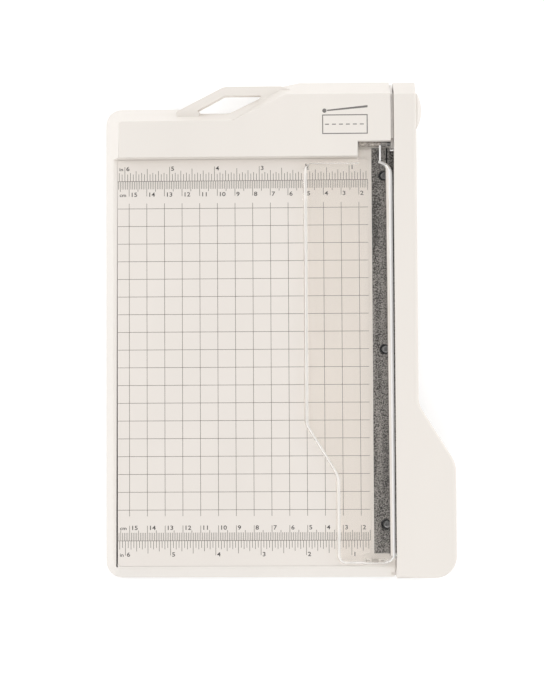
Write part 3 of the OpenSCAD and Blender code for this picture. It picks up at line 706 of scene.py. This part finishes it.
def catch():
    """A small metal catch over the base's peg, in the guard's front slot, with two clips beside it.

    They all stay with the base. Nothing carries the clips once the guard is up.
    """
    low = GUARD_TOP - 0.9 * MM
    high = GUARD_TOP + 0.45 * MM
    # Each bar's two ends, in mm from the slot's middle, and its width in mm
    bars = ((-1.9, 1.9, 1.24), (-5.2, -4.6, 1.24), (-4.6, -3.0, 0.4), (3.2, 5.0, 0.8))
    bm = bmesh.new()
    for start, end, width in bars:
        add_bar(bm, SLOT_X + start * MM, SLOT_X + end * MM, *across(SLOT_Y, width * MM), low, high)
    piece = mesh_object("guard_catch", bm, CATCH)
    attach(piece, "base")


# ---------------------------------------------------------------- arm

def arm():
    """The arm's moulding. Its cutting side and the crease behind the pivot stay crisper than the rest."""
    piece = mesh_object("arm_moulding", clean_copy("arm_shell"), SHELL)
    stand_for(piece, "arm_shell")
    top = ARM_HIGH.z - TOP_BAND
    left = ARM_LOW.x + 0.5 * MM
    tail = PIVOT_Y + 7.0 * MM
    slope_z = PIVOT_Z + 2.0 * MM
    crisp = 0.45

    def weigh(middle, edge):
        ends = [vert.co for vert in edge.verts]
        if is_level(edge) and middle.z > top:
            crease = abs(ends[0].y - ends[1].y) < SAME and middle.y > tail
            return crisp if middle.x < left or crease else 1.0
        lengthwise = abs(ends[0].x - ends[1].x) < SAME and abs(ends[0].y - ends[1].y) > MM
        if lengthwise and middle.y > tail and middle.z > slope_z:
            return crisp if middle.x < left else 1.0
        return 0.0

    soften(piece, 1.3 * MM, weigh)


# ---------------------------------------------------------------- screws of the bed knife

def turned(bm, place, profile):
    """Rings of a surface turned about Z at place. profile is (radius, z) in mm."""
    rings = []
    for radius, z in profile:
        ring = [Vector((radius * math.cos(a), radius * math.sin(a), z)) for a in circle_angles(40)]
        rings.append([bm.verts.new(place + p * MM) for p in ring])
    bridge(bm, rings)
    return rings


def knife_screws():
    """Cross-headed screws, a little to the right in seats painted near-black, so that a dark crescent of
    painted shade shows beside each head.
    """
    head = ((1.8, -1.3), (1.95, -0.5), (1.85, -0.15), (1.5, -0.02))
    seat = (
        (2.93, -0.03), (2.93, -0.22), (1.6, -1.5), (1.5, -1.5),
        (1.5, -1.6), (3.0, -0.25), (2.93, -0.03),
    )
    first = Vector((CUT_X - 6.1 * MM, FRONT_Y + 30.4 * MM, BED_Z))
    pitch = Vector((0, 98.1 * MM, 0))
    shift = Vector((0.8 * MM, 0, 0))
    places = [first + i * pitch for i in range(3)]
    heads = bmesh.new()
    seats = bmesh.new()
    for place in places:
        rings = turned(heads, place + shift, head)
        heads.faces.new(rings[0])
        heads.faces.new(rings[-1])
        turned(seats, place, seat)
    piece = mesh_object("knife_screw_heads", heads, SCREW)
    long, thin = 2.4 * MM, 0.56 * MM
    for place in places:
        x, y, _ = place + shift
        for wide, tall in ((long, thin), (thin, long)):
            cut = box_tool(*across(x, wide), *across(y, tall), BED_Z - 0.9 * MM, BED_Z + MM)
            carve(piece, cut)
    stand_for(piece, "knife_screws")
    # the seats are painted near-black as the shade in the countersinks
    shade_collar = mesh_object("knife_screw_seats_painted_shade", seats, SEAT_PAINTED_SHADE)
    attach(shade_collar, "base")


# ---------------------------------------------------------------- print

INK_LIFT = 0.02 * MM
LINE = 0.24 * MM
TICK = 0.27 * MM
CM = 10 * MM
INCH = 25.4 * MM
PRINT_LEFT = PANEL_LOW.x + 0.2 * MM
PRINT_RIGHT = CUT_X - 14.9 * MM
REAR_RULER_Y = GRID_Y + 15.6 * MM
FRONT_RULER_Y = GRID_Y - 187.2 * MM


def printed(name, bm, material):
    """The bmesh as one printed piece on the base."""
    piece = mesh_object(name, bm, material)
    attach(piece, "base")


def printed_bars(name, bars, material, z=BED_Z):
    """One printed piece from (x0, x1, y0, y1) bars, on the level z."""
    bm = bmesh.new()
    for bar in bars:
        add_bar(bm, *bar, z, z + INK_LIFT)
    printed(name, bm, material)


def printed_grid():
    """The centimetre grid, whose upright lines run a little past the last level ones."""
    low, high = GRID_Y - 173.5 * MM, GRID_Y + 3 * MM
    bars = [(*across(CUT_X - cm * CM, LINE), low, high) for cm in range(2, 16)]
    bars += [(PRINT_LEFT, PRINT_RIGHT, *across(GRID_Y - row * CM, LINE)) for row in range(18)]
    printed_bars("printed_grid", bars, INK)


def printed_ruler(name, y, up):
    """A double ruler on the line y: inches on the side up (1 or -1), centimetres on the other."""
    inch_ticks = {0: 8.2, 8: 7.1, 4: 5.9, 12: 5.9}  # heights in mm by the sixteenth
    cm_ticks = {0: 8.5, 5: 5.8}  # heights in mm by the millimetre
    ticks = []
    for sixteenth in range(10, 99):
        part = sixteenth % 16
        plain = 4.8 if part % 2 == 0 else 4.0
        ticks.append((CUT_X - sixteenth * INCH / 16, inch_ticks.get(part, plain) * MM * up))
    for mm in range(15, 157):
        ticks.append((CUT_X - mm * MM, cm_ticks.get(mm % 10, 4.5) * MM * -up))
    bars = [(PRINT_LEFT, PRINT_RIGHT, *across(y, LINE))]
    for x, tall in ticks:
        if x > PRINT_LEFT:
            bars.append((*across(x, TICK), min(y, y + tall), max(y, y + tall)))
    printed_bars(name, bars, INK)


def lettering(name, items, height):
    """Figures as one printed piece on the bed. items are (text, x of left edge, y of baseline)."""
    digit_share = 0.729  # a digit's height as a share of the font's size
    widen = Matrix.Diagonal((1.2, 1, 1, 1))
    bm = bmesh.new()
    for text, x, y in items:
        curve = bpy.data.curves.new("figure", "FONT")
        curve.body = text
        curve.size = height / digit_share
        curve.extrude = INK_LIFT / 2
        curve.offset = 0.04 * MM
        curve.resolution_u = 3
        holder = bpy.data.objects.new("figure", curve)
        bpy.context.scene.collection.objects.link(holder)
        depsgraph = bpy.context.evaluated_depsgraph_get()
        mesh = bpy.data.meshes.new_from_object(holder.evaluated_get(depsgraph))
        mesh.transform(Matrix.Translation((x, y, BED_Z + INK_LIFT / 2)) @ widen)
        bm.from_mesh(mesh)
        bpy.data.meshes.remove(mesh)
        bpy.data.objects.remove(holder)
        bpy.data.curves.remove(curve)
    printed(name, bm, INK_DARK)


def printed_figures(name, y, up):
    """The figures of one double ruler, each just right of its line, and the units in smaller letters."""
    gap = 0.7 * MM
    digit = 2.45 * MM
    if up > 0:
        inch_y, cm_y = y + 6.0 * MM, y - 8.7 * MM
    else:
        inch_y, cm_y = y - 8.8 * MM, y + 6.1 * MM
    items = [(str(n), CUT_X - n * INCH + gap, inch_y) for n in range(1, 7)]
    items += [(str(n), CUT_X - n * CM + gap, cm_y) for n in range(2, 16)]
    lettering(name, items, digit)
    units = [("in", CUT_X - 155.6 * MM, inch_y), ("cm", CUT_X - 155.5 * MM, cm_y)]
    lettering(name + "_units", units, digit * 0.8)


def pictogram():
    """A generic sign on the head: a sheet with a dashed cutting line, and above it a lever on a pivot."""
    thick = 0.55 * MM
    left, low = CUT_X - 40.5 * MM, REAR_Y - 33.0 * MM
    right, top = left + 25.5 * MM, low + 11.0 * MM
    bars = [
        (left, left + thick, low, top),
        (right - thick, right, low, top),
        (left + thick, right - thick, low, low + thick),
        (left + thick, right - thick, top - thick, top),
    ]
    dash, pitch = 2.2 * MM, 3.9 * MM
    for i in range(6):
        start = left + 1.6 * MM + i * pitch
        bars.append((start, start + dash, *across((low + top) / 2, thick)))
    printed_bars("pictogram_sheet", bars, SIGN_INK, HEAD_Z)

    # In mm from the sheet's lower left corner
    lever = [(2.8, 12.9), (25.5, 14.9), (25.5, 16.1), (2.8, 13.7)]
    pivot = [(1.3 + 1.2 * math.cos(a), 13.2 + 1.2 * math.sin(a)) for a in circle_angles(24)]
    bm = bmesh.new()
    for outline in (lever, pivot):
        rings = []
        for z in (HEAD_Z, HEAD_Z + INK_LIFT):
            rings.append([bm.verts.new((left + x * MM, low + y * MM, z)) for x, y in outline])
        bridge(bm, rings)
        bm.faces.new(rings[0])
        bm.faces.new(rings[1])
    printed("pictogram_lever", bm, SIGN_INK)


# ---------------------------------------------------------------- stage

def camera():
    """A long lens, 0.9 m over the bed, which looks almost straight down."""
    tilt, lean, roll = math.radians(2.4436), math.radians(1.2076), math.radians(-0.3024)
    data = bpy.data.cameras.new("camera")
    data.sensor_width = 36.0
    data.lens = 84.66
    item = bpy.data.objects.new("camera", data)
    item.location = (CUT_X - 50.7 * MM, GRID_Y - 113.3 * MM, BED_Z + 900 * MM)
    item.rotation_euler = Euler((tilt, lean, roll))
    bpy.context.scene.collection.objects.link(item)
    bpy.context.scene.camera = item


def floor():
    """A plain white floor that glows a little, as in a light tent."""
    bm = bmesh.new()
    bmesh.ops.create_grid(bm, x_segments=1, y_segments=1, size=4.0)
    s = Shader("floor_white", Roughness=0.9)
    s.principled.inputs["Specular IOR Level"].default_value = 0.2
    s.principled.inputs["Base Color"].default_value = (0.7, 0.7, 0.7, 1)
    s.principled.inputs["Emission Color"].default_value = (1, 1, 1, 1)
    s.principled.inputs["Emission Strength"].default_value = 0.4
    piece = mesh_object("floor", bm, s.material)
    piece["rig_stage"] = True


def softbox(name, place, size, power):
    """A rectangular lamp that faces the middle of the footprint."""
    data = bpy.data.lights.new(name, "AREA")
    data.shape = "RECTANGLE"
    data.size, data.size_y = size
    data.energy = power
    item = bpy.data.objects.new(name, data)
    item.location = place
    item.rotation_euler = (-Vector(place)).to_track_quat("-Z", "Y").to_euler()
    bpy.context.scene.collection.objects.link(item)


def lights():
    """A white tent, brighter low down and to the rear, and three softboxes."""
    softbox("softbox_right", (0.9, 0.25, 0.9), (0.3, 1.0), 3.2)
    softbox("softbox_left", (-0.9, 0.3, 0.9), (0.3, 1.0), 3.2)
    softbox("softbox_front", (0, -1.7, 2.1), (2.0, 1.0), 14.0)
    world = bpy.data.worlds.new("studio")
    world.use_nodes = True
    nodes = world.node_tree.nodes
    links = world.node_tree.links
    way = nodes.new("ShaderNodeSeparateXYZ")
    links.new(nodes.new("ShaderNodeTexCoord").outputs["Generated"], way.inputs[0])
    height = nodes.new("ShaderNodeMapRange")
    height.inputs["From Min"].default_value = 0.1
    height.inputs["From Max"].default_value = 1.0
    height.inputs["To Min"].default_value = 1.4
    height.inputs["To Max"].default_value = 0.40
    links.new(way.outputs["Z"], height.inputs["Value"])
    rear = nodes.new("ShaderNodeMapRange")
    rear.inputs["From Min"].default_value = -1.0
    rear.inputs["To Min"].default_value = 0.75
    rear.inputs["To Max"].default_value = 1.13
    links.new(way.outputs["Y"], rear.inputs["Value"])
    both = nodes.new("ShaderNodeMath")
    both.operation = "MULTIPLY"
    links.new(height.outputs[0], both.inputs[0])
    links.new(rear.outputs[0], both.inputs[1])
    links.new(both.outputs[0], nodes["Background"].inputs["Strength"])
    nodes["Background"].inputs["Color"].default_value = (1, 1, 1, 1)
    bpy.context.scene.world = world
    bpy.context.scene.view_settings.view_transform = "Standard"


# ---------------------------------------------------------------- make everything

camera()
floor()
lights()

base_shell()
guard()
catch()
arm()
knife_screws()
dress("bed_panel", PANEL, 0.04 * MM)
dress("bed_knife", KNIFE, 0.12 * MM)
dress("guard_pin", SCREW, 0.1 * MM)
dress("guard_spring", SPRING)
dress("pivot_plate", PLATE, 0.1 * MM)
dress("pivot_plate_screws", SCREW, 0.05 * MM)
dress("pivot_bolt", SCREW, 0.1 * MM)
dress("thrust_washer", ACETAL)
dress("disc_springs", SPRING)
dress("pivot_washer", SCREW)
dress("pivot_nut", SCREW, 0.1 * MM)
dress("arm_bumper", RUBBER, 0.3 * MM)
for corner in ("front_left", "front_right", "rear_left", "rear_right"):
    dress("foot_" + corner, RUBBER, 0.2 * MM)
dress("arm_liner", SHELL, 0.2 * MM)
dress("arm_blade", BLADE, 0.03 * MM)
dress("blade_screws", SCREW, 0.05 * MM)
dress("liner_screws", SCREW, 0.05 * MM)
dress("pivot_bush", BRONZE, 0.1 * MM)
dress("pivot_cap", SHELL)

printed_grid()
printed_ruler("rear_ruler", REAR_RULER_Y, 1)
printed_ruler("front_ruler", FRONT_RULER_Y, -1)
printed_figures("rear_figures", REAR_RULER_Y, 1)
printed_figures("front_figures", FRONT_RULER_Y, -1)
pictogram()

boxes = {"cad": CAD_BOX, "visual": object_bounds()}
{name: [list(corner) for corner in box] for name, box in boxes.items()}
